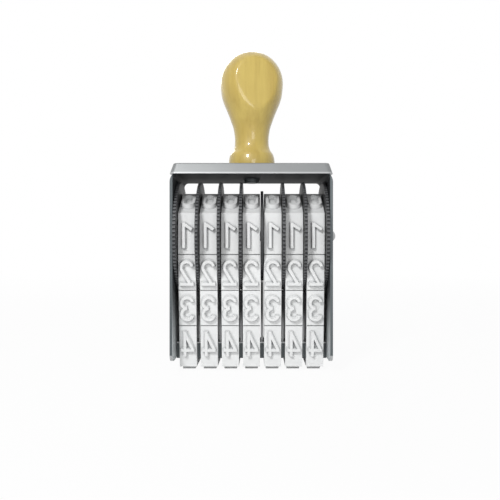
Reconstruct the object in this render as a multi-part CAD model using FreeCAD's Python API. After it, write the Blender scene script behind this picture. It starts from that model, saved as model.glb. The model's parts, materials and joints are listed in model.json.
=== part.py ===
"""Hand numbering stamp with seven rubber digit bands, in millimetres.

Each band runs over the drum of its wheel and under the printing bridge, where
one digit of every band faces down to print. A toothed thumb disc beside each
drum turns it. X runs along the axle, -Y is the front with the digits 0 to 4,
and +Z is up. The origin is in the plane of the printing digits, under the
middle of the middle band.
"""

import FreeCAD
import Part

import math
import os

V = FreeCAD.Vector
X_AXIS = V(1, 0, 0)
Z_AXIS = V(0, 0, 1)

# Clearances, and the overrun of every cut
overrun = 1.0
tolerance = 0.000001
running_clearance = 0.05
wheel_play = 0.2
bridge_clearance = 0.05
cap_clearance = 0.1

# Bands, with eleven places: ten digits and a bare one
band_count = 7
band_pitch = 7.8
band_width = 6.3
band_thickness = 2.6
place_length = 13.2
run_place_count = 3
wrap_sides = 6
groove_width = 0.35
groove_depth = 0.5

# Raised digits, measured on their printing faces
digit_height = 9.2
digit_width = 5.0
stroke_width = 1.0
digit_relief = 1.6
stroke_draft = 0.35
digit_root = 0.3

# Axle, drums, thumb discs and the spacer between the two groups
axle_diameter = 4.0
axle_head_diameter = 4.8
axle_head_height = 3.0
spigot_across = 10.0
thumb_disc_radius = 20.5
thumb_disc_thickness = 1.0
thumb_disc_teeth = 90
tooth_depth = 0.5
tooth_tip_share = 0.42
tooth_root_share = 0.30
spacer_radius = 17.2

# Printing bridge
bridge_height = 6.0
bridge_sheet = 1.2
bridge_bend_radius = 0.5
tenon_height = 3.5

# Dividers that stand in the bridge, one in every gap between two bands
divider_thickness = 0.8
divider_top_depth = 16.0
divider_disc_gap = 0.5

# Frame and the cap on it
frame_depth = 34.0
frame_sheet = 1.2
frame_bottom = 4.7
frame_inner_bend = 1.8
frame_outer_bend = 4.0
frame_foot_radius = 3.0
web_height = 72.0
cap_half_width = 29.2
cap_half_depth = 18.2
cap_lean = 1.2
cap_skirt = 1.1
cap_crown = 2.8
cap_corner_radius = 2.0
cap_rim_radius = 0.5

# Handle and its screw
handle_head_radius = 12.0
handle_head_height = 32.7
handle_profile_shares = [
    (0.725, 0), (0.737, 0.060), (0.728, 0.101), (0.680, 0.165), (0.605, 0.206),
    (0.563, 0.242), (0.540, 0.310), (0.560, 0.415), (0.598, 0.484), (0.664, 0.552),
    (0.732, 0.621), (0.810, 0.690), (0.888, 0.758), (0.950, 0.830), (0.984, 0.910), (1, 1),
]
thumb_flat_distance = 9.2
thumb_flat_degrees = 12
thumb_flat_height = 22.0
screw_diameter = 4.0
screw_head_diameter = 6.0
screw_head_height = 1.6
screw_head_rounding = 0.7
screw_bite = 13.0
screw_slot_width = 0.9
screw_slot_depth = 0.8

# Places worked out from the sizes above
wrap_radius = place_length / 2 / math.tan(math.pi / wrap_sides)
bridge_bottom = digit_relief + band_thickness
bridge_top = bridge_bottom + bridge_height
bridge_half_depth = place_length / 2 - bridge_clearance
run_length = run_place_count * place_length
run_rise = math.sqrt(run_length**2 - (wrap_radius - place_length / 2) ** 2)
axle_height = bridge_bottom + run_rise + place_length / 2
bore_radius = axle_diameter / 2 + running_clearance
disc_offset = band_pitch / 2
disc_face = disc_offset - thumb_disc_thickness / 2
outer_disc_face_x = (band_count - 1) / 2 * band_pitch + disc_offset + thumb_disc_thickness / 2
frame_inner_x = outer_disc_face_x + wheel_play
frame_outer_x = frame_inner_x + frame_sheet
web_top = web_height + frame_sheet
cap_top = web_top + cap_crown
left_wheels = (band_count + 1) // 2


# Common shapes

def near(value, target):
    return abs(value - target) < tolerance


def box(x0, x1, y0, y1, z0, z1):
    return Part.makeBox(x1 - x0, y1 - y0, z1 - z0, V(x0, y0, z0))


def rod_x(radius, x0, x1, height):
    """Cylinder along X between two places, in either order."""
    low, high = sorted((x0, x1))
    return Part.makeCylinder(radius, high - low, V(low, 0, height), X_AXIS)


def prism(points, direction):
    face = Part.Face(Part.makePolygon([*points, points[0]]))
    return face.extrude(direction)


def joined(shapes):
    first, *rest = shapes
    return first.multiFuse(rest).removeSplitter() if rest else first


def placed(shape, point, y_axis, z_axis):
    """A copy that keeps its X and has its own Y and Z turned to the given ones."""
    matrix = FreeCAD.Matrix(
        1, 0, 0, point.x,
        0, y_axis.y, z_axis.y, point.y,
        0, y_axis.z, z_axis.z, point.z,
        0, 0, 0, 1,
    )
    copy = shape.copy()
    copy.Placement = FreeCAD.Placement(matrix)
    return copy


def band_x(index):
    return (index - (band_count - 1) / 2) * band_pitch


def disc_side(index):
    """Thumb discs stand left of the first four bands and right of the rest."""
    return -1 if index < left_wheels else 1


# Digits: each stroke's sides lean in from its foot to its printing face

u_side = (digit_width - stroke_width) / 2
v_top = (digit_height - stroke_width) / 2
v_end = digit_height / 2
v_upper = v_top - u_side
v_waist = v_upper - u_side
v_bowl = v_waist - u_side
v_lower = u_side - v_top


def stroke_profile(point, across):
    """Section of a stroke at a point of its middle line."""
    half_face = stroke_width / 2
    half_foot = half_face + stroke_draft
    outline = [
        (-half_foot, -digit_root), (half_foot, -digit_root), (half_foot, 0),
        (half_face, digit_relief), (-half_face, digit_relief), (-half_foot, 0),
    ]
    points = [point + across * side + Z_AXIS * height for side, height in outline]
    return Part.Face(Part.makePolygon([*points, points[0]]))


def bar_stroke(start, end):
    """Straight stroke between two (u, v) points, mirrored for printing."""
    a = V(-start[0], start[1], 0)
    b = V(-end[0], end[1], 0)
    along = b - a
    across = V(-along.y, along.x, 0).normalize()
    return stroke_profile(a, across).extrude(along)


def arc_stroke(centre_v, start, end):
    """Round stroke about (0, centre_v), from one angle to another in degrees."""
    centre = V(0, centre_v, 0)
    low, high = sorted((180 - start, 180 - end))
    across = V(math.cos(math.radians(low)), math.sin(math.radians(low)), 0)
    profile = stroke_profile(centre + across * u_side, across)
    return profile.revolve(centre, Z_AXIS, high - low)


def lower_bowl(start, end):
    """Tall lower bowl of 3, 5, 6 and 8, from its upper arc to its lower arc."""
    return [
        arc_stroke(v_bowl, start, 0),
        bar_stroke((u_side, v_bowl), (u_side, v_lower)),
        arc_stroke(v_lower, 0, end),
    ]


def zero():
    sides = [bar_stroke((u, v_lower), (u, v_upper)) for u in (-u_side, u_side)]
    return [*sides, arc_stroke(v_upper, 0, 180), arc_stroke(v_lower, 180, 360)]


def one():
    stem_u = u_side - stroke_width
    return [
        bar_stroke((stem_u, -v_end), (stem_u, v_end)),
        bar_stroke((stem_u, v_top), (-u_side, v_upper)),
    ]


def two():
    turn = math.radians(-30)
    bend = (u_side * math.cos(turn), v_upper + u_side * math.sin(turn))
    drop = (bend[1] + v_top) * math.tan(-turn)
    return [
        arc_stroke(v_upper, -30, 170),
        bar_stroke(bend, (bend[0] - drop, -v_top)),
        bar_stroke((-digit_width / 2, -v_top), (digit_width / 2, -v_top)),
    ]


def three():
    return [arc_stroke(v_upper, -90, 165), *lower_bowl(90, -165)]


def four():
    stem_u = u_side - stroke_width
    cross_v = v_lower - stroke_width / 4
    return [
        bar_stroke((stem_u, -v_end), (stem_u, v_end)),
        bar_stroke((-digit_width / 2, cross_v), (digit_width / 2, cross_v)),
        bar_stroke((stem_u, v_top), (-u_side, cross_v)),
    ]


def five():
    left = u_side - stroke_width / 4
    return [
        bar_stroke((-left - stroke_width / 2, v_top), (digit_width / 2, v_top)),
        bar_stroke((-left, v_end), (-left, v_waist - stroke_width)),
        *lower_bowl(150, -165),
    ]


def six():
    return [
        *lower_bowl(180, -180),
        bar_stroke((-u_side, v_lower), (-u_side, v_upper)),
        arc_stroke(v_upper, 20, 180),
    ]


def seven():
    return [
        bar_stroke((-digit_width / 2, v_top), (digit_width / 2, v_top)),
        bar_stroke((u_side, v_top), (-u_side / 2, -v_end)),
    ]


def eight():
    return [
        arc_stroke(v_upper, 0, 180),
        arc_stroke(v_upper, 180, 360),
        *lower_bowl(180, -180),
        bar_stroke((-u_side, v_lower), (-u_side, v_bowl)),
    ]


def nine():
    turned = six()
    for stroke in turned:
        stroke.rotate(V(0, 0, 0), Z_AXIS, 180)
    return turned


# Bands

def loop_corners():
    """Inner corners of a band in the YZ plane, from the top down the front."""
    half = place_length / 2
    front = [
        V(0, -wrap_radius, axle_height + half),
        V(0, -wrap_radius, axle_height - half),
        V(0, -half, bridge_bottom),
    ]
    back = [V(0, -point.y, point.z) for point in reversed(front)]
    return [V(0, 0, axle_height + place_length), *front, *back]


def loop_sides(corners):
    """Start, length, direction of travel and outward normal of each side."""
    sides = []
    for start, end in zip(corners, corners[1:] + corners[:1]):
        length = (end - start).Length
        travel = (end - start) * (1 / length)
        sides.append((start, length, travel, V(0, travel.z, -travel.y)))
    return sides


def outer_corners(corners):
    """The corners moved out by the band's thickness, square to both sides."""
    normals = [side[3] for side in loop_sides(corners)]
    moved = []
    for index, corner in enumerate(corners):
        before, after = normals[index - 1], normals[index]
        reach = band_thickness / (1 + before.dot(after))
        moved.append(corner + (before + after) * reach)
    return moved


def band_inside():
    """Room inside a band: round over the drum, straight down to the bridge."""
    half = band_width / 2 + overrun
    corners = [V(-half, point.y, point.z) for point in loop_corners()[2:6]]
    shoulders = [V(-half, y, axle_height) for y in (wrap_radius, -wrap_radius)]
    straight = prism([*corners, *shoulders], X_AXIS * (2 * half))
    return rod_x(wrap_radius, -half, half, axle_height).fuse(straight)


def digit_band():
    """One band at x 0: stiff plates, the fine slots between them and the digits."""
    corners = loop_corners()
    start_x = V(-band_width / 2, 0, 0)
    wall = prism([start_x + point for point in outer_corners(corners)], X_AXIS * band_width)
    glyphs = [zero, one, two, three, four, five, six, seven, eight, nine]
    groove = box(-band_width, band_width, -groove_width / 2, groove_width / 2, -groove_depth, overrun)
    digits = []
    grooves = []
    for start, length, travel, normal in loop_sides(corners):
        base = start + normal * band_thickness
        count = round(length / place_length)
        for place in range(count):
            middle = base + travel * ((place + 0.5) * place_length)
            if glyphs:
                digits.append(placed(joined(glyphs.pop(0)()), middle, -travel, normal))
            if count == run_place_count:
                edge = place if normal.y < 0 else place + 1
                grooves.append(placed(groove, base + travel * (edge * place_length), -travel, normal))
    return joined([wall.cut([band_inside(), *grooves]), *digits])


# Wheels

def hexagon(across, x0, x1):
    """Hexagonal bar about the axle, between two places along X."""
    radius = across / math.sqrt(3)
    angles = [math.pi * side / 3 for side in range(6)]
    points = [V(x0, radius * math.cos(a), axle_height + radius * math.sin(a)) for a in angles]
    return prism(points, X_AXIS * (x1 - x0))


def axle_bore():
    return rod_x(bore_radius, -frame_outer_x - overrun, frame_outer_x + overrun, axle_height)


def spigot(index):
    """Hexagonal end of a drum that carries its thumb disc."""
    side = disc_side(index)
    inner = band_x(index) + side * disc_face
    return hexagon(spigot_across, inner, inner + side * thumb_disc_thickness)


def drum(index):
    """Round barrel under a band, with its spigot."""
    side = disc_side(index)
    inner = band_x(index) + side * disc_face
    far = band_x(index) - side * (disc_face - wheel_play)
    barrel = rod_x(wrap_radius - running_clearance, inner, far, axle_height)
    return barrel.fuse(spigot(index)).cut(axle_bore())


def thumb_disc(index):
    """Thin disc with a toothed rim, held on the drum's spigot."""
    step = 2 * math.pi / thumb_disc_teeth
    tip_share = tooth_tip_share / 2
    foot_share = (1 - tooth_root_share) / 2
    corners = [
        (thumb_disc_radius - tooth_depth, -foot_share),
        (thumb_disc_radius, -tip_share),
        (thumb_disc_radius, tip_share),
        (thumb_disc_radius - tooth_depth, foot_share),
    ]
    x = band_x(index) + disc_side(index) * disc_face
    points = []
    for tooth in range(thumb_disc_teeth):
        for radius, share in corners:
            angle = (tooth + share) * step
            points.append(V(x, radius * math.cos(angle), axle_height + radius * math.sin(angle)))
    disc = prism(points, X_AXIS * (disc_side(index) * thumb_disc_thickness))
    return disc.cut(spigot(index).fuse(axle_bore()))


def axle_rod():
    return rod_x(axle_diameter / 2, -frame_outer_x, frame_outer_x, axle_height)


def axle():
    """Rod through both legs of the frame, with a domed head on the right."""
    head_radius = axle_head_diameter / 2
    dome_radius = (head_radius**2 + axle_head_height**2) / (2 * axle_head_height)
    head_end = frame_outer_x + axle_head_height
    dome = Part.makeSphere(dome_radius, V(head_end - dome_radius, 0, axle_height))
    head = dome.common(rod_x(dome_radius, frame_outer_x, head_end, axle_height))
    return axle_rod().fuse(head).removeSplitter()


def centre_spacer():
    """Smooth disc on the axle, between the fourth band and the fifth."""
    middle = band_x(left_wheels - 1) + disc_offset
    half = thumb_disc_thickness / 2
    return rod_x(spacer_radius, middle - half, middle + half, axle_height).cut(axle_rod())


# Frame, bridge and cap

def arch(half_width, half_depth, bottom, top, bend_radius):
    """Block with its two upper long edges rounded."""
    block = box(-half_width, half_width, -half_depth, half_depth, bottom, top)
    edges = [
        edge for edge in block.Edges
        if near(edge.CenterOfMass.z, top) and near(abs(edge.CenterOfMass.x), half_width)
    ]
    return block.makeFillet(bend_radius, edges)


def bridge_tenons():
    """Two tongues at each end of the bridge, through the legs of the frame."""
    middle = (bridge_bottom + bridge_top) / 2
    low, high = middle - tenon_height / 2, middle + tenon_height / 2
    inner, outer = bridge_half_depth - bridge_sheet, bridge_half_depth
    front = box(-frame_outer_x, frame_outer_x, -outer, -inner, low, high)
    return [front, box(-frame_outer_x, frame_outer_x, inner, outer, low, high)]


def frame():
    """Steel strip bent to an arch, with rounded feet."""
    half = frame_depth / 2
    outside = arch(frame_outer_x, half, frame_bottom, web_top, frame_outer_bend)
    inside = arch(frame_inner_x, half + overrun, frame_bottom - overrun, web_height, frame_inner_bend)
    strip = outside.cut(inside)
    feet = [
        edge for edge in strip.Edges
        if near(edge.CenterOfMass.z, frame_bottom) and near(abs(edge.CenterOfMass.y), half)
    ]
    strip = strip.makeFillet(frame_foot_radius, feet)
    return strip.cut([axle_rod(), *bridge_tenons(), screw_shank()])


def printing_bridge():
    """Channel under which the bands turn, open at the top."""
    half = bridge_half_depth
    channel = box(-frame_inner_x, frame_inner_x, -half, half, bridge_bottom, bridge_top)
    bends = [
        edge for edge in channel.Edges
        if near(edge.CenterOfMass.z, bridge_bottom) and near(abs(edge.CenterOfMass.y), half)
    ]
    channel = channel.makeFillet(bridge_bend_radius, bends)
    inner = half - bridge_sheet
    hollow = box(-frame_outer_x, frame_outer_x, -inner, inner, bridge_bottom + bridge_sheet,
                 bridge_top + overrun)
    return joined([channel.cut(hollow), *bridge_tenons()])


def band_divider(gap):
    """Upright plate in the channel of the bridge, between two bands."""
    wheel_radius = spacer_radius if gap == left_wheels else thumb_disc_radius
    base = bridge_bottom + bridge_sheet
    top = axle_height - wheel_radius - divider_disc_gap
    low_half = bridge_half_depth - bridge_sheet
    high_half = divider_top_depth / 2
    outline = [
        (-low_half, base), (low_half, base), (low_half, bridge_top),
        (high_half, top), (-high_half, top), (-low_half, bridge_top),
    ]
    x = band_x(gap) - disc_offset - divider_thickness / 2
    return prism([V(x, y, z) for y, z in outline], X_AXIS * divider_thickness)


def rectangle(half_x, half_y, z):
    corners = [V(-half_x, -half_y, z), V(half_x, -half_y, z), V(half_x, half_y, z), V(-half_x, half_y, z)]
    return Part.makePolygon([*corners, corners[0]])


def top_cap():
    """Cast cap with leaning sides, seated on the web of the frame."""
    bottom = web_top - cap_skirt
    lower = rectangle(cap_half_width, cap_half_depth, bottom)
    upper = rectangle(cap_half_width - cap_lean, cap_half_depth - cap_lean, cap_top)
    block = Part.makeLoft([lower, upper], True, True)
    corners = [edge for edge in block.Edges if near(edge.CenterOfMass.z, (bottom + cap_top) / 2)]
    block = block.makeFillet(cap_corner_radius, corners)
    rim = [edge for edge in block.Edges if near(edge.CenterOfMass.z, cap_top)]
    block = block.makeFillet(cap_rim_radius, rim)
    room = arch(frame_outer_x + cap_clearance, frame_depth / 2 + cap_clearance,
                frame_bottom, web_top, frame_outer_bend + cap_clearance)
    return block.cut([room, screw_shank()])


# Handle

def screw_shank():
    length = cap_top + screw_bite - web_height
    return Part.makeCylinder(screw_diameter / 2, length, V(0, 0, web_height))


def handle_screw():
    """Screw from under the web up into the handle, with a slotted pan head."""
    head_bottom = web_height - screw_head_height
    head = Part.makeCylinder(screw_head_diameter / 2, screw_head_height, V(0, 0, head_bottom))
    rim = [edge for edge in head.Edges if near(edge.CenterOfMass.z, head_bottom)]
    head = head.makeFillet(screw_head_rounding, rim)
    slot = box(-screw_head_diameter, screw_head_diameter, -screw_slot_width / 2,
               screw_slot_width / 2, head_bottom - overrun, head_bottom + screw_slot_depth)
    return screw_shank().fuse(head).removeSplitter().cut(slot)


def handle():
    """Turned wooden handle with a flat for the thumb at the front."""
    points = [
        V(handle_head_radius * radius_share, 0, cap_top + handle_head_height * height_share)
        for radius_share, height_share in handle_profile_shares
    ]
    side = Part.BSplineCurve()
    side.interpolate(points)
    centre = V(0, 0, cap_top + handle_head_height)
    shoulder = V(math.cos(math.pi / 4), 0, math.sin(math.pi / 4)) * handle_head_radius
    crown = Part.Arc(points[-1], centre + shoulder, centre + Z_AXIS * handle_head_radius)
    foot = V(0, 0, cap_top)
    edges = [
        Part.LineSegment(foot, points[0]).toShape(),
        side.toShape(),
        crown.toShape(),
        Part.LineSegment(centre + Z_AXIS * handle_head_radius, foot).toShape(),
    ]
    turned = Part.Face(Part.Wire(edges)).revolve(V(0, 0, 0), Z_AXIS, 360)
    reach = 2 * handle_head_radius
    flat = box(-reach, reach, -reach, -thumb_flat_distance, cap_top + handle_head_height - thumb_flat_height,
               cap_top + handle_head_height + reach)
    flat.rotate(V(0, 0, 0), Z_AXIS, thumb_flat_degrees)
    return turned.cut([flat, screw_shank()])


def build():
    nodes = {
        "frame": frame(),
        "top_cap": top_cap(),
        "handle": handle(),
        "handle_screw": handle_screw(),
        "axle": axle(),
        "centre_spacer": centre_spacer(),
        "printing_bridge": printing_bridge(),
    }
    band = digit_band()
    for index in range(band_count):
        copy = band.copy()
        copy.translate(X_AXIS * band_x(index))
        nodes[f"digit_band_{index + 1}"] = copy
        nodes[f"drum_{index + 1}"] = drum(index)
        nodes[f"thumb_disc_{index + 1}"] = thumb_disc(index)
    for gap in range(1, band_count):
        nodes[f"band_divider_{gap}"] = band_divider(gap)
    return nodes


os.makedirs("parts", exist_ok=True)
print("axle height", round(axle_height, 2), "wrap radius", round(wrap_radius, 2))
for name, shape in build().items():
    solids = shape.Solids
    state = "valid" if shape.isValid() else "NOT VALID"
    print(name, len(solids), "solids", round(shape.Volume, 2), "mm3", state)
    solid = solids[0] if len(solids) == 1 else Part.makeCompound(solids)
    solid.exportStep(f"parts/{name}.step")
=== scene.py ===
"""Hand numbering stamp with seven rubber digit bands, dressed around its frame.

All sizes are in metres, in the stamp's own frame: X along the axle, -Y to the
front, +Z up, with the origin in the plane of the printing digits. Colours are
linear, and a pair of shades gives the darker one first.
"""

import json
import math

import bpy
import numpy as np
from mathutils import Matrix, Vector

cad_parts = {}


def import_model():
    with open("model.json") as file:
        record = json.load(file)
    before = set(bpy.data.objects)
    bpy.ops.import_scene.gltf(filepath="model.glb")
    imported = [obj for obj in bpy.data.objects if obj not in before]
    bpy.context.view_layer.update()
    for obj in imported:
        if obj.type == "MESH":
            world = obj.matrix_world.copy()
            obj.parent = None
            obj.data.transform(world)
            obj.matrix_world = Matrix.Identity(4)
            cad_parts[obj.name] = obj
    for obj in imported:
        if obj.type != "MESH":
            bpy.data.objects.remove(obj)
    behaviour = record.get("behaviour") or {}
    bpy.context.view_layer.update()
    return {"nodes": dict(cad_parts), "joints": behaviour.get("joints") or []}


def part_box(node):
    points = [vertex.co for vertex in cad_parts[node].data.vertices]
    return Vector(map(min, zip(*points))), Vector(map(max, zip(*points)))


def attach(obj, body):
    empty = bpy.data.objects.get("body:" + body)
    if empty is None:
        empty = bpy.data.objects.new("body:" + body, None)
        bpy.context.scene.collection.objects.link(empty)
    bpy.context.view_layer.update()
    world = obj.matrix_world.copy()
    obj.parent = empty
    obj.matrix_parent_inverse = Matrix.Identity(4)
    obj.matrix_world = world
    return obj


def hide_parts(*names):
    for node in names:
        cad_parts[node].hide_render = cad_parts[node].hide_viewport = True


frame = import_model()

MM = 0.001
BAND_COUNT = 7
SHEET = 1.2 * MM

# Places read from the frame
AXLE_Z = frame["joints"][0]["pos_m"][2]
BRIDGE_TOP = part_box("printing_bridge")[1][2]
LEG_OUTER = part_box("frame")[1][0]
LEG_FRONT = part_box("frame")[1][1]
WEB_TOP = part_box("frame")[1][2]
CAP_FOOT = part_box("top_cap")[0][2]
DISC_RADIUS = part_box("thumb_disc_1")[1][2] - AXLE_Z
HANDLE_LOW, HANDLE_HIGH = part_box("handle")


# Nodes and shader expressions

BEVEL_SAMPLES = 4
CREASE_SAMPLES = 8

# A Mix node keeps sockets for each kind of value, and these are the ones for colours
MIX_FIRST = 6
MIX_SECOND = 7
MIX_RESULT = 2


def feed(tree, socket, value):
    """Links a socket to another one, or sets its value."""
    if isinstance(value, bpy.types.NodeSocket):
        tree.links.new(value, socket)
    else:
        socket.default_value = value


def add_node(tree, kind, settings, *values):
    """Adds a node: its settings first, then the values or links of its first sockets."""
    node = tree.nodes.new(kind)
    for key, value in settings.items():
        setattr(node, key, value)
    for socket, value in zip(node.inputs, values):
        feed(tree, socket, value)
    return node


class Wire:
    """A number socket that adds Math nodes when it is used in a sum."""

    def __init__(self, paint, socket):
        self.paint = paint
        self.socket = socket

    def _maths(self, operation, *values):
        return self.paint.add("ShaderNodeMath", {"operation": operation}, *values)

    def __add__(self, other):
        return self._maths("ADD", self, other)

    def __sub__(self, other):
        return self._maths("SUBTRACT", self, other)

    def __rsub__(self, other):
        return self._maths("SUBTRACT", other, self)

    def __mul__(self, other):
        return self._maths("MULTIPLY", self, other)

    def __pow__(self, other):
        return self._maths("POWER", self, other)

    __radd__ = __add__
    __rmul__ = __mul__

    def size(self):
        return self._maths("ABSOLUTE", self)

    def rise(self, low, high):
        """0 below low, 1 above high, with a smooth way between."""
        settings = {"interpolation_type": "SMOOTHSTEP"}
        return self.paint.add("ShaderNodeMapRange", settings, self, low, high, 0.0, 1.0)


def span(low, high, share):
    """From low to high as the share goes from 0 to 1."""
    return low + share * (high - low)


class Paint:
    """A node material for one finish."""

    def __init__(self, name):
        self.material = bpy.data.materials.new(name)
        self.material.use_nodes = True
        self.tree = self.material.node_tree
        self.shader = self.tree.nodes["Principled BSDF"]
        self.place = self.tree.nodes.new("ShaderNodeTexCoord").outputs["Object"]

    def node(self, kind, settings, *values):
        plain = [value.socket if isinstance(value, Wire) else value for value in values]
        return add_node(self.tree, kind, settings, *plain)

    def add(self, kind, settings, *values):
        return Wire(self, self.node(kind, settings, *values).outputs[0])

    def feed(self, socket, value):
        feed(self.tree, socket, value.socket if isinstance(value, Wire) else value)

    def axes(self):
        """The X, Y and Z of the object's own place, in metres."""
        split = self.node("ShaderNodeSeparateXYZ", {}, self.place)
        return [Wire(self, output) for output in split.outputs]

    def noise(self, across, detail=4.0, rough=0.55, stretch=(1, 1, 1)):
        """Noise from 0 to 1 whose lumps are about that many metres across."""
        scaled = self.node("ShaderNodeMapping", {}, self.place)
        scaled.inputs["Scale"].default_value = [share / across for share in stretch]
        node = self.node("ShaderNodeTexNoise", {}, scaled.outputs[0])
        node.inputs["Scale"].default_value = 1.0
        node.inputs["Detail"].default_value = detail
        node.inputs["Roughness"].default_value = rough
        return Wire(self, node.outputs[0])

    def mix(self, share, first, second):
        """A colour between two, either of which may be a link."""
        node = self.node("ShaderNodeMix", {"data_type": "RGBA"}, share)
        for index, colour in ((MIX_FIRST, first), (MIX_SECOND, second)):
            self.feed(node.inputs[index], (*colour, 1) if isinstance(colour, tuple) else colour)
        return node.outputs[MIX_RESULT]

    def creases(self, distance):
        """1 in the open, falling towards 0 in corners and slots of that size."""
        node = self.node("ShaderNodeAmbientOcclusion", {"samples": CREASE_SAMPLES})
        node.inputs["Distance"].default_value = distance
        return Wire(self, node.outputs["AO"])

    def relief(self, height, depth, edge):
        """Fine bumps of that depth over edges rounded by that radius."""
        rounded = self.node("ShaderNodeBevel", {"samples": BEVEL_SAMPLES}, edge)
        bump = self.node("ShaderNodeBump", {})
        bump.inputs["Strength"].default_value = 1.0
        bump.inputs["Distance"].default_value = depth
        self.feed(bump.inputs["Height"], height)
        self.feed(bump.inputs["Normal"], rounded.outputs[0])
        self.feed(self.shader.inputs["Normal"], bump.outputs[0])

    def set(self, **values):
        """Feeds the shader's sockets, named with _ for a space, and gives the material."""
        for name, value in values.items():
            self.feed(self.shader.inputs[name.replace("_", " ")], value)
        return self.material


# Cap

CAP_SHADES = (0.215, 0.224, 0.228), (0.260, 0.268, 0.270)
# Painted highlight: a paler band along the cap's lower rim, where its edge catches the light
RIM_HIGHLIGHT = (0.55, 0.56, 0.57)
RIM_HIGHLIGHT_SHARE = 0.7
RIM_FROM = CAP_FOOT + 0.25 * MM
RIM_TO = CAP_FOOT + 0.75 * MM


def cap_finish():
    """Satin grey lacquer on the cast cap, with a painted highlight along its lower rim."""
    paint = Paint("cap_grey")
    z = paint.axes()[2]
    speckle = paint.noise(across=0.35 * MM, detail=3)
    cloud = paint.noise(across=9 * MM)
    # Where the painted highlight lies, along the lower rim
    rim = 1 - z.rise(RIM_FROM, RIM_TO)
    body = paint.mix(cloud, *CAP_SHADES)
    paint.relief(speckle, depth=0.012 * MM, edge=0.35 * MM)
    return paint.set(
        Base_Color=paint.mix(rim * RIM_HIGHLIGHT_SHARE, body, RIM_HIGHLIGHT), Metallic=0.35,
        Roughness=span(0.34, 0.44, speckle), Specular_IOR_Level=0.5)


# Frame

STEEL_SHADES = (0.36, 0.37, 0.375), (0.52, 0.53, 0.535)
GRAIN_SHARE = 0.6
CUT_EDGE = (0.105, 0.120, 0.126)
# Painted shade on the faces within the legs and web, paling to painted light towards the foot where
# light reaches in
INSIDE_PAINTED_SHADE = (0.010, 0.012, 0.014), (0.030, 0.034, 0.037)
FOOT_PAINTED_LIGHT = (0.520, 0.550, 0.560)
FOOT_PAINTED_LIGHT_SHARE = 0.9
FOOT_PALE_TO = 8 * MM
FOOT_DARK_FROM = 34 * MM
INNER_WALL = LEG_OUTER - SHEET
INNER_WEB = WEB_TOP - SHEET
DARK_TO = 0.1 * MM
BRIGHT_FROM = 0.3 * MM
CUT_FROM = LEG_FRONT - 0.12 * MM
CUT_TO = LEG_FRONT - 0.04 * MM
STEEL_METALLIC = 0.75
CUT_METALLIC_LOSS = 0.4
INSIDE_DULLNESS = 0.30


def frame_finish():
    """Rolled steel: bright outside, blue-grey on its cut edges, with painted shade on the faces within
    that pales to painted light at the foot.
    """
    paint = Paint("rolled_steel")
    x, y, z = paint.axes()
    grain = paint.noise(across=0.5 * MM, detail=5, stretch=(1, 1, 0.04))
    cloud = paint.noise(across=12 * MM)
    beside = 1 - x.size().rise(INNER_WALL + DARK_TO, INNER_WALL + BRIGHT_FROM)
    below = 1 - z.rise(INNER_WEB + DARK_TO, INNER_WEB + BRIGHT_FROM)
    within = beside * below
    outer = paint.mix(grain * GRAIN_SHARE + cloud * (1 - GRAIN_SHARE), *STEEL_SHADES)
    cut = y.size().rise(CUT_FROM, CUT_TO)
    outer = paint.mix(cut, outer, CUT_EDGE)
    # Painted shade within, with painted light towards the foot
    inner = paint.mix(cloud, *INSIDE_PAINTED_SHADE)
    foot = 1 - z.rise(FOOT_PALE_TO, FOOT_DARK_FROM)
    inner = paint.mix(foot * FOOT_PAINTED_LIGHT_SHARE, inner, FOOT_PAINTED_LIGHT)
    paint.relief(grain, depth=0.010 * MM, edge=0.25 * MM)
    return paint.set(
        Base_Color=paint.mix(within, outer, inner),
        Metallic=(STEEL_METALLIC - cut * CUT_METALLIC_LOSS) * (1 - within),
        Roughness=span(0.30, 0.45, grain) + within * INSIDE_DULLNESS, Specular_IOR_Level=0.2)


# Bridge and screw

BLACKENED_SHADES = (0.055, 0.066, 0.070), (0.115, 0.130, 0.135)
# Painted highlight: a bright line along the bridge's upper edge, where it catches the light
EDGE_HIGHLIGHT = (0.75, 0.76, 0.77)
EDGE_STARTS = BRIDGE_TOP - 0.45 * MM
EDGE_HIGHLIGHT_FROM = BRIDGE_TOP - 0.15 * MM
EDGE_HIGHLIGHT_TO = BRIDGE_TOP + 0.02 * MM
EDGE_ENDS = BRIDGE_TOP + 0.06 * MM


def dark_metal_finish():
    """Blackened steel, with a painted highlight along the upper edge of the bridge."""
    paint = Paint("blackened_steel")
    z = paint.axes()[2]
    mottle = paint.noise(across=2.5 * MM, detail=6)
    # Where the painted highlight lies, along the upper edge
    edge = z.rise(EDGE_STARTS, EDGE_HIGHLIGHT_FROM) * (1 - z.rise(EDGE_HIGHLIGHT_TO, EDGE_ENDS))
    body = paint.mix(mottle, *BLACKENED_SHADES)
    paint.relief(mottle, depth=0.015 * MM, edge=0.15 * MM)
    return paint.set(
        Base_Color=paint.mix(edge, body, EDGE_HIGHLIGHT), Metallic=0.3, Roughness=span(0.36, 0.50, mottle))


# Dividers

# Painted shade on the sheet's upper part, which the discs shade, and painted light towards the bridge
# where light reaches in
DIVIDER_PAINTED_SHADE = (0.012, 0.013, 0.015), (0.030, 0.033, 0.036)
LOW_PAINTED_LIGHT = (0.72, 0.73, 0.74)
LOW_PAINTED_LIGHT_SHARE = 0.9
PAINTED_LIGHT_TO = BRIDGE_TOP + 4 * MM
PAINTED_SHADE_FROM = BRIDGE_TOP + 13 * MM


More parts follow.
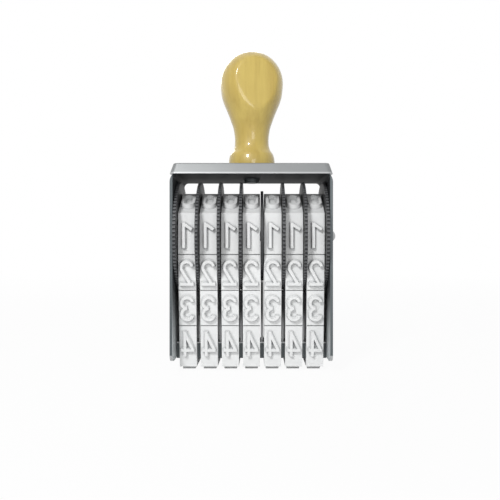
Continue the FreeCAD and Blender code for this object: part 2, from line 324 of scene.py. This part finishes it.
def divider_finish():
    """Sheet painted dark as shade where the discs shade it, and paler with painted light towards the
    bridge.
    """
    paint = Paint("divider_sheet")
    z = paint.axes()[2]
    streak = paint.noise(across=1.2 * MM, detail=5, stretch=(1, 1, 0.1))
    # Where the painted light lies, low down towards the bridge
    lit_low = 1 - z.rise(PAINTED_LIGHT_TO, PAINTED_SHADE_FROM)
    body = paint.mix(streak, *DIVIDER_PAINTED_SHADE)
    paint.relief(streak, depth=0.010 * MM, edge=0.1 * MM)
    return paint.set(
        Base_Color=paint.mix(lit_low * LOW_PAINTED_LIGHT_SHARE, body, LOW_PAINTED_LIGHT), Metallic=0.2,
        Roughness=span(0.38, 0.52, streak))


# Thumb discs, drums and spacer

PLASTIC_SHADES = (0.012, 0.013, 0.014), (0.030, 0.031, 0.034)
HANDLED_TIP = (0.105, 0.108, 0.114)
HANDLED_SHARE = 0.75
TIP_FROM = DISC_RADIUS - 0.40 * MM
TIP_TO = DISC_RADIUS - 0.05 * MM


def disc_finish():
    """Black moulded plastic, greyed on the tips of the teeth by handling."""
    paint = Paint("disc_black")
    y, z = paint.axes()[1:]
    up = z - AXLE_Z
    radius = (y * y + up * up) ** 0.5
    tips = radius.rise(TIP_FROM, TIP_TO)
    haze = paint.noise(across=4 * MM)
    body = paint.mix(haze, *PLASTIC_SHADES)
    paint.relief(paint.noise(across=0.25 * MM), depth=0.012 * MM, edge=0.08 * MM)
    return paint.set(
        Base_Color=paint.mix(tips * HANDLED_SHARE, body, HANDLED_TIP), Roughness=span(0.42, 0.58, haze))


# Bands

RUBBER_SHADES = (0.760, 0.770, 0.772), (0.830, 0.836, 0.834)
# Painted shade: grey laid into corners and creases, such as round the feet of the digits
CREASE_SHADE = (0.27, 0.28, 0.29)
CREASE_SHADE_REACH = 0.8 * MM


def rubber_finish():
    """Pale moulded rubber, with painted shade in grey in its corners and creases."""
    paint = Paint("pale_rubber")
    cloud = paint.noise(across=5 * MM, detail=5)
    grit = paint.noise(across=0.18 * MM, detail=3)
    body = paint.mix(cloud, *RUBBER_SHADES)
    paint.relief(grit, depth=0.010 * MM, edge=0.14 * MM)
    return paint.set(
        Base_Color=paint.mix(paint.creases(CREASE_SHADE_REACH), CREASE_SHADE, body),
        Roughness=span(0.52, 0.64, grit), Specular_IOR_Level=0.4)


# Wood

PALE_WOOD = (0.510, 0.370, 0.068), (0.580, 0.440, 0.098)
DEEP_WOOD = (0.380, 0.250, 0.032), (0.440, 0.310, 0.052)
RING_SHARE = 0.55
FIBRE_SHARE = 0.35


def wood_finish():
    """Lacquered pale wood: long fine grain up the handle under a clear gloss."""
    paint = Paint("lacquered_wood")
    fibre = paint.noise(across=0.9 * MM, detail=6, rough=0.6, stretch=(1, 1, 0.06))
    rings = paint.noise(across=5 * MM, detail=3, rough=0.5, stretch=(1, 1, 0.10))
    flame = paint.noise(across=14 * MM, detail=2)
    pale = paint.mix(flame, *PALE_WOOD)
    deep = paint.mix(flame, *DEEP_WOOD)
    grain = rings.rise(0.35, 0.65) * RING_SHARE + fibre.rise(0.45, 0.75) * FIBRE_SHARE
    paint.relief(fibre, depth=0.010 * MM, edge=0.6 * MM)
    return paint.set(
        Base_Color=paint.mix(grain, pale, deep), Roughness=span(0.38, 0.48, fibre),
        Coat_Weight=0.75, Coat_Roughness=0.09, Specular_IOR_Level=0.5)


# Axle

AXLE_SHADES = (0.34, 0.345, 0.35), (0.50, 0.505, 0.51)


def steel_finish():
    """Bright turned steel of the axle."""
    paint = Paint("turned_steel")
    turning = paint.noise(across=0.4 * MM, detail=4, stretch=(1, 0.2, 0.2))
    paint.relief(turning, depth=0.008 * MM, edge=0.12 * MM)
    return paint.set(
        Base_Color=paint.mix(turning, *AXLE_SHADES), Metallic=0.85, Roughness=span(0.28, 0.43, turning))


def dress(names, material):
    """Gives the frame's nodes of those names that material."""
    for name in names:
        node = frame["nodes"][name]
        node.data.materials.clear()
        node.data.materials.append(material)


def row(name, count=BAND_COUNT):
    """The names of a row of like nodes."""
    return [f"{name}_{k}" for k in range(1, count + 1)]


# Handle

HEAD_RADIUS = HANDLE_HIGH[0]
HEAD_RISE = HANDLE_HIGH[2] - HEAD_RADIUS - HANDLE_LOW[2]

# Radius and height up the side, as shares of the head's radius and of the height of its middle
HANDLE_SHARES = np.array([
    (0.725, 0), (0.737, 0.060), (0.728, 0.101), (0.680, 0.165), (0.605, 0.206),
    (0.563, 0.242), (0.540, 0.310), (0.560, 0.415), (0.598, 0.484), (0.664, 0.552),
    (0.732, 0.621), (0.810, 0.690), (0.888, 0.758), (0.950, 0.830), (0.984, 0.910), (1, 1),
])
THUMB_FLAT = 9.2 * MM
THUMB_TURN = math.radians(12)
FLAT_SOFTNESS = 0.5 * MM
FLAT_START = HANDLE_LOW[2] + 9 * MM
FLAT_FADE = 5 * MM
BORE_RADIUS = 2.0 * MM
BORE_DEPTH = 13 * MM
AROUND = 240
UP_SIDE = 150
UP_CROWN = 60


def handle_outline():
    """Radii and heights up the handle: a smooth curve through the side's shares, then a quarter circle.

    The curve is a cubic between each two shares, whose slope at a share is the slope between
    its two neighbours.
    """
    radii = HANDLE_SHARES[:, 0] * HEAD_RADIUS
    heights = HANDLE_SHARES[:, 1] * HEAD_RISE
    slopes = np.gradient(radii, heights)
    slopes[-1] = 0
    z = np.linspace(0, HEAD_RISE, UP_SIDE)
    index = np.clip(np.searchsorted(heights, z, side="right") - 1, 0, len(heights) - 2)
    step = heights[index + 1] - heights[index]
    t = (z - heights[index]) / step
    low_end = (2 * t**3 - 3 * t**2 + 1) * radii[index] + (t**3 - 2 * t**2 + t) * step * slopes[index]
    high_end = (3 * t**2 - 2 * t**3) * radii[index + 1] + (t**3 - t**2) * step * slopes[index + 1]
    turn = np.linspace(0, math.pi / 2, UP_CROWN)[1:-1]
    r = np.concatenate([low_end + high_end, HEAD_RADIUS * np.cos(turn)])
    z = np.concatenate([z, HEAD_RISE + HEAD_RADIUS * np.sin(turn)])
    return r, z + HANDLE_LOW[2]


def grid_faces(rows, columns):
    """Quads of a grid that closes on itself along each row."""
    row_index, column = np.meshgrid(np.arange(rows - 1), np.arange(columns), indexing="ij")
    after = (column + 1) % columns
    here, above = row_index * columns, (row_index + 1) * columns
    quads = np.stack([here + column, here + after, above + after, above + column], axis=-1)
    return quads.reshape(-1, 4).tolist()


def wooden_handle():
    """Turned handle: radius(z) about the Z axis, drawn in to the thumb flat's plane.

    A point's reach towards the flat is n = r cos(a), with a the angle from the flat's middle.
    Where n passes the plane at the distance d, it becomes the soft minimum of the two,
    s = (n + d - sqrt((n - d)^2 + w^2)) / 2, where w is the softness of the edge. The bore for
    the screw is a second, narrower tube inside the foot.
    """
    r, z = handle_outline()
    angle = np.linspace(0, 2 * math.pi, AROUND, endpoint=False)
    reach = r[:, None] * np.cos(angle)
    across = r[:, None] * np.sin(angle)
    soft = (reach + THUMB_FLAT - np.sqrt((reach - THUMB_FLAT) ** 2 + FLAT_SOFTNESS**2)) / 2
    share = np.clip((z - FLAT_START) / FLAT_FADE, 0, 1)[:, None]
    reach = reach + (soft - reach) * share
    facing = THUMB_TURN - math.pi / 2
    x = reach * math.cos(facing) - across * math.sin(facing)
    y = reach * math.sin(facing) + across * math.cos(facing)
    side = np.stack([x, y, np.broadcast_to(z[:, None], x.shape)], axis=-1)
    bore_x, bore_y = BORE_RADIUS * np.cos(angle + facing), BORE_RADIUS * np.sin(angle + facing)
    bore = [np.stack([bore_x, bore_y, np.full(AROUND, HANDLE_LOW[2] + depth)], axis=-1)
            for depth in (BORE_DEPTH, 0)]
    poles = [(0.0, 0.0, HANDLE_LOW[2] + BORE_DEPTH), (0.0, 0.0, HANDLE_HIGH[2])]
    points = np.concatenate([*bore, side.reshape(-1, 3), poles])
    ring_count = len(bore) + len(z)
    faces = grid_faces(ring_count, AROUND)
    last = (ring_count - 1) * AROUND
    bore_end, crown = len(points) - 2, len(points) - 1
    for k in range(AROUND):
        after = (k + 1) % AROUND
        faces += [(after, k, bore_end), (last + k, last + after, crown)]
    mesh = bpy.data.meshes.new("wooden_handle")
    mesh.from_pydata(points.tolist(), [], faces)
    mesh.validate()
    mesh.shade_smooth()
    piece = bpy.data.objects.new("wooden_handle", mesh)
    bpy.context.collection.objects.link(piece)
    mesh.materials.append(wood_finish())
    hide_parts("handle")
    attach(piece, "root")


# Floor and background

WHITE = (1, 1, 1, 1)
PAPER = (0.85, 0.85, 0.85, 1)
WORLD_LIGHT = 0.42
FLOOR_SIZE = 3.0
FLOOR_GLOW_SHARE = 0.94
SHADOW_REACH = 0.12
WHITE_FROM = 0.80


def show_white(tree, plain, white, glow_share, output):
    """Shows the plain shader, but to the camera and in mirrors the white one by that share."""
    path = tree.nodes.new("ShaderNodeLightPath")
    seen = path.outputs["Is Camera Ray"]
    for ray in ("Is Glossy Ray", "Is Transmission Ray"):
        larger = add_node(tree, "ShaderNodeMath", {"operation": "MAXIMUM"}, seen, path.outputs[ray])
        seen = larger.outputs[0]
    share = add_node(tree, "ShaderNodeMath", {"operation": "MULTIPLY"}, seen, glow_share)
    mixer = add_node(tree, "ShaderNodeMixShader", {}, share.outputs[0])
    tree.links.new(plain.outputs[0], mixer.inputs[1])
    tree.links.new(white.outputs[0], mixer.inputs[2])
    tree.links.new(mixer.outputs[0], output.inputs["Surface"])


def fading_share(tree):
    """Glow share that rises to 1 with the distance from the stamp, so that no horizon shows."""
    place = tree.nodes.new("ShaderNodeTexCoord").outputs["Object"]
    away = add_node(tree, "ShaderNodeVectorMath", {"operation": "LENGTH"}, place).outputs["Value"]
    fade = add_node(tree, "ShaderNodeMapRange", {"interpolation_type": "SMOOTHSTEP"},
                    away, SHADOW_REACH, WHITE_FROM, FLOOR_GLOW_SHARE, 1.0)
    return fade.outputs["Result"]


def floor():
    """White paper that takes the stamp's shadow near it and fades into the background."""
    mesh = bpy.data.meshes.new("floor")
    half = FLOOR_SIZE / 2
    corners = [(-half, -half, 0), (half, -half, 0), (half, half, 0), (-half, half, 0)]
    mesh.from_pydata(corners, [], [(0, 1, 2, 3)])
    plane = bpy.data.objects.new("floor", mesh)
    bpy.context.collection.objects.link(plane)
    material = bpy.data.materials.new("white_floor")
    material.use_nodes = True
    tree = material.node_tree
    tree.nodes.remove(tree.nodes["Principled BSDF"])
    paper = add_node(tree, "ShaderNodeBsdfDiffuse", {}, PAPER)
    glow = add_node(tree, "ShaderNodeEmission", {}, WHITE)
    show_white(tree, paper, glow, fading_share(tree), tree.nodes["Material Output"])
    mesh.materials.append(material)


def world():
    """Even light from all round, in front of a white background."""
    studio = bpy.data.worlds.new("studio")
    bpy.context.scene.world = studio
    studio.use_nodes = True
    tree = studio.node_tree
    plain = tree.nodes["Background"]
    plain.inputs["Color"].default_value = WHITE
    plain.inputs["Strength"].default_value = WORLD_LIGHT
    white = add_node(tree, "ShaderNodeBackground", {}, WHITE, 1.0)
    show_white(tree, plain, white, 1.0, tree.nodes["World Output"])


# Lamps: place, width and height of the panel, and power in watts
LAMPS = {
    "key": ((-0.20, -0.50, 0.38), (0.10, 0.10), 2.1),
    "fill": ((0.10, -0.60, 0.14), (0.20, 0.20), 0.5),
    "back": ((-0.15, 0.55, 0.40), (0.40, 0.30), 1.0),
}
LAMPS_AIM = (0, 0, AXLE_Z)


def lamp(name, place, size, power):
    """Square or oblong soft light, turned to the middle of the stamp."""
    data = bpy.data.lights.new(name, "AREA")
    data.shape = "RECTANGLE"
    data.size, data.size_y = size
    data.energy = power
    item = bpy.data.objects.new(name, data)
    bpy.context.collection.objects.link(item)
    item.location = place
    item.rotation_euler = (Vector(LAMPS_AIM) - Vector(place)).to_track_quat("-Z", "Y").to_euler()


# The photograph's camera, which looks level along +Y
PICTURE = 500
CAMERA_PLACE = (2.4 * MM, -230.6 * MM, 47.0 * MM)
FOCAL_PIXELS = 598
MIDDLE_PIXEL = (258, 244)
SENSOR = 36.0
NEAREST_SEEN = 10 * MM


def camera():
    """Camera whose shift puts the level line of sight on its own pixel of the photograph."""
    data = bpy.data.cameras.new("camera")
    data.sensor_width = SENSOR
    data.lens = FOCAL_PIXELS / PICTURE * SENSOR
    data.shift_x = (PICTURE / 2 - MIDDLE_PIXEL[0]) / PICTURE
    data.shift_y = (MIDDLE_PIXEL[1] - PICTURE / 2) / PICTURE
    data.clip_start = NEAREST_SEEN
    item = bpy.data.objects.new("camera", data)
    bpy.context.collection.objects.link(item)
    item.location = CAMERA_PLACE
    item.rotation_euler = (math.pi / 2, 0, 0)
    bpy.context.scene.camera = item


dress(["frame"], frame_finish())
dress(["top_cap"], cap_finish())
dress(["printing_bridge", "handle_screw"], dark_metal_finish())
dress(row("band_divider", BAND_COUNT - 1), divider_finish())
dress(["axle"], steel_finish())
dress([*row("thumb_disc"), *row("drum"), "centre_spacer"], disc_finish())
dress(row("digit_band"), rubber_finish())
wooden_handle()

floor()
world()
for lamp_name, (lamp_place, lamp_size, lamp_power) in LAMPS.items():
    lamp(lamp_name, lamp_place, lamp_size, lamp_power)
camera()

bpy.context.scene.view_settings.view_transform = "Standard"
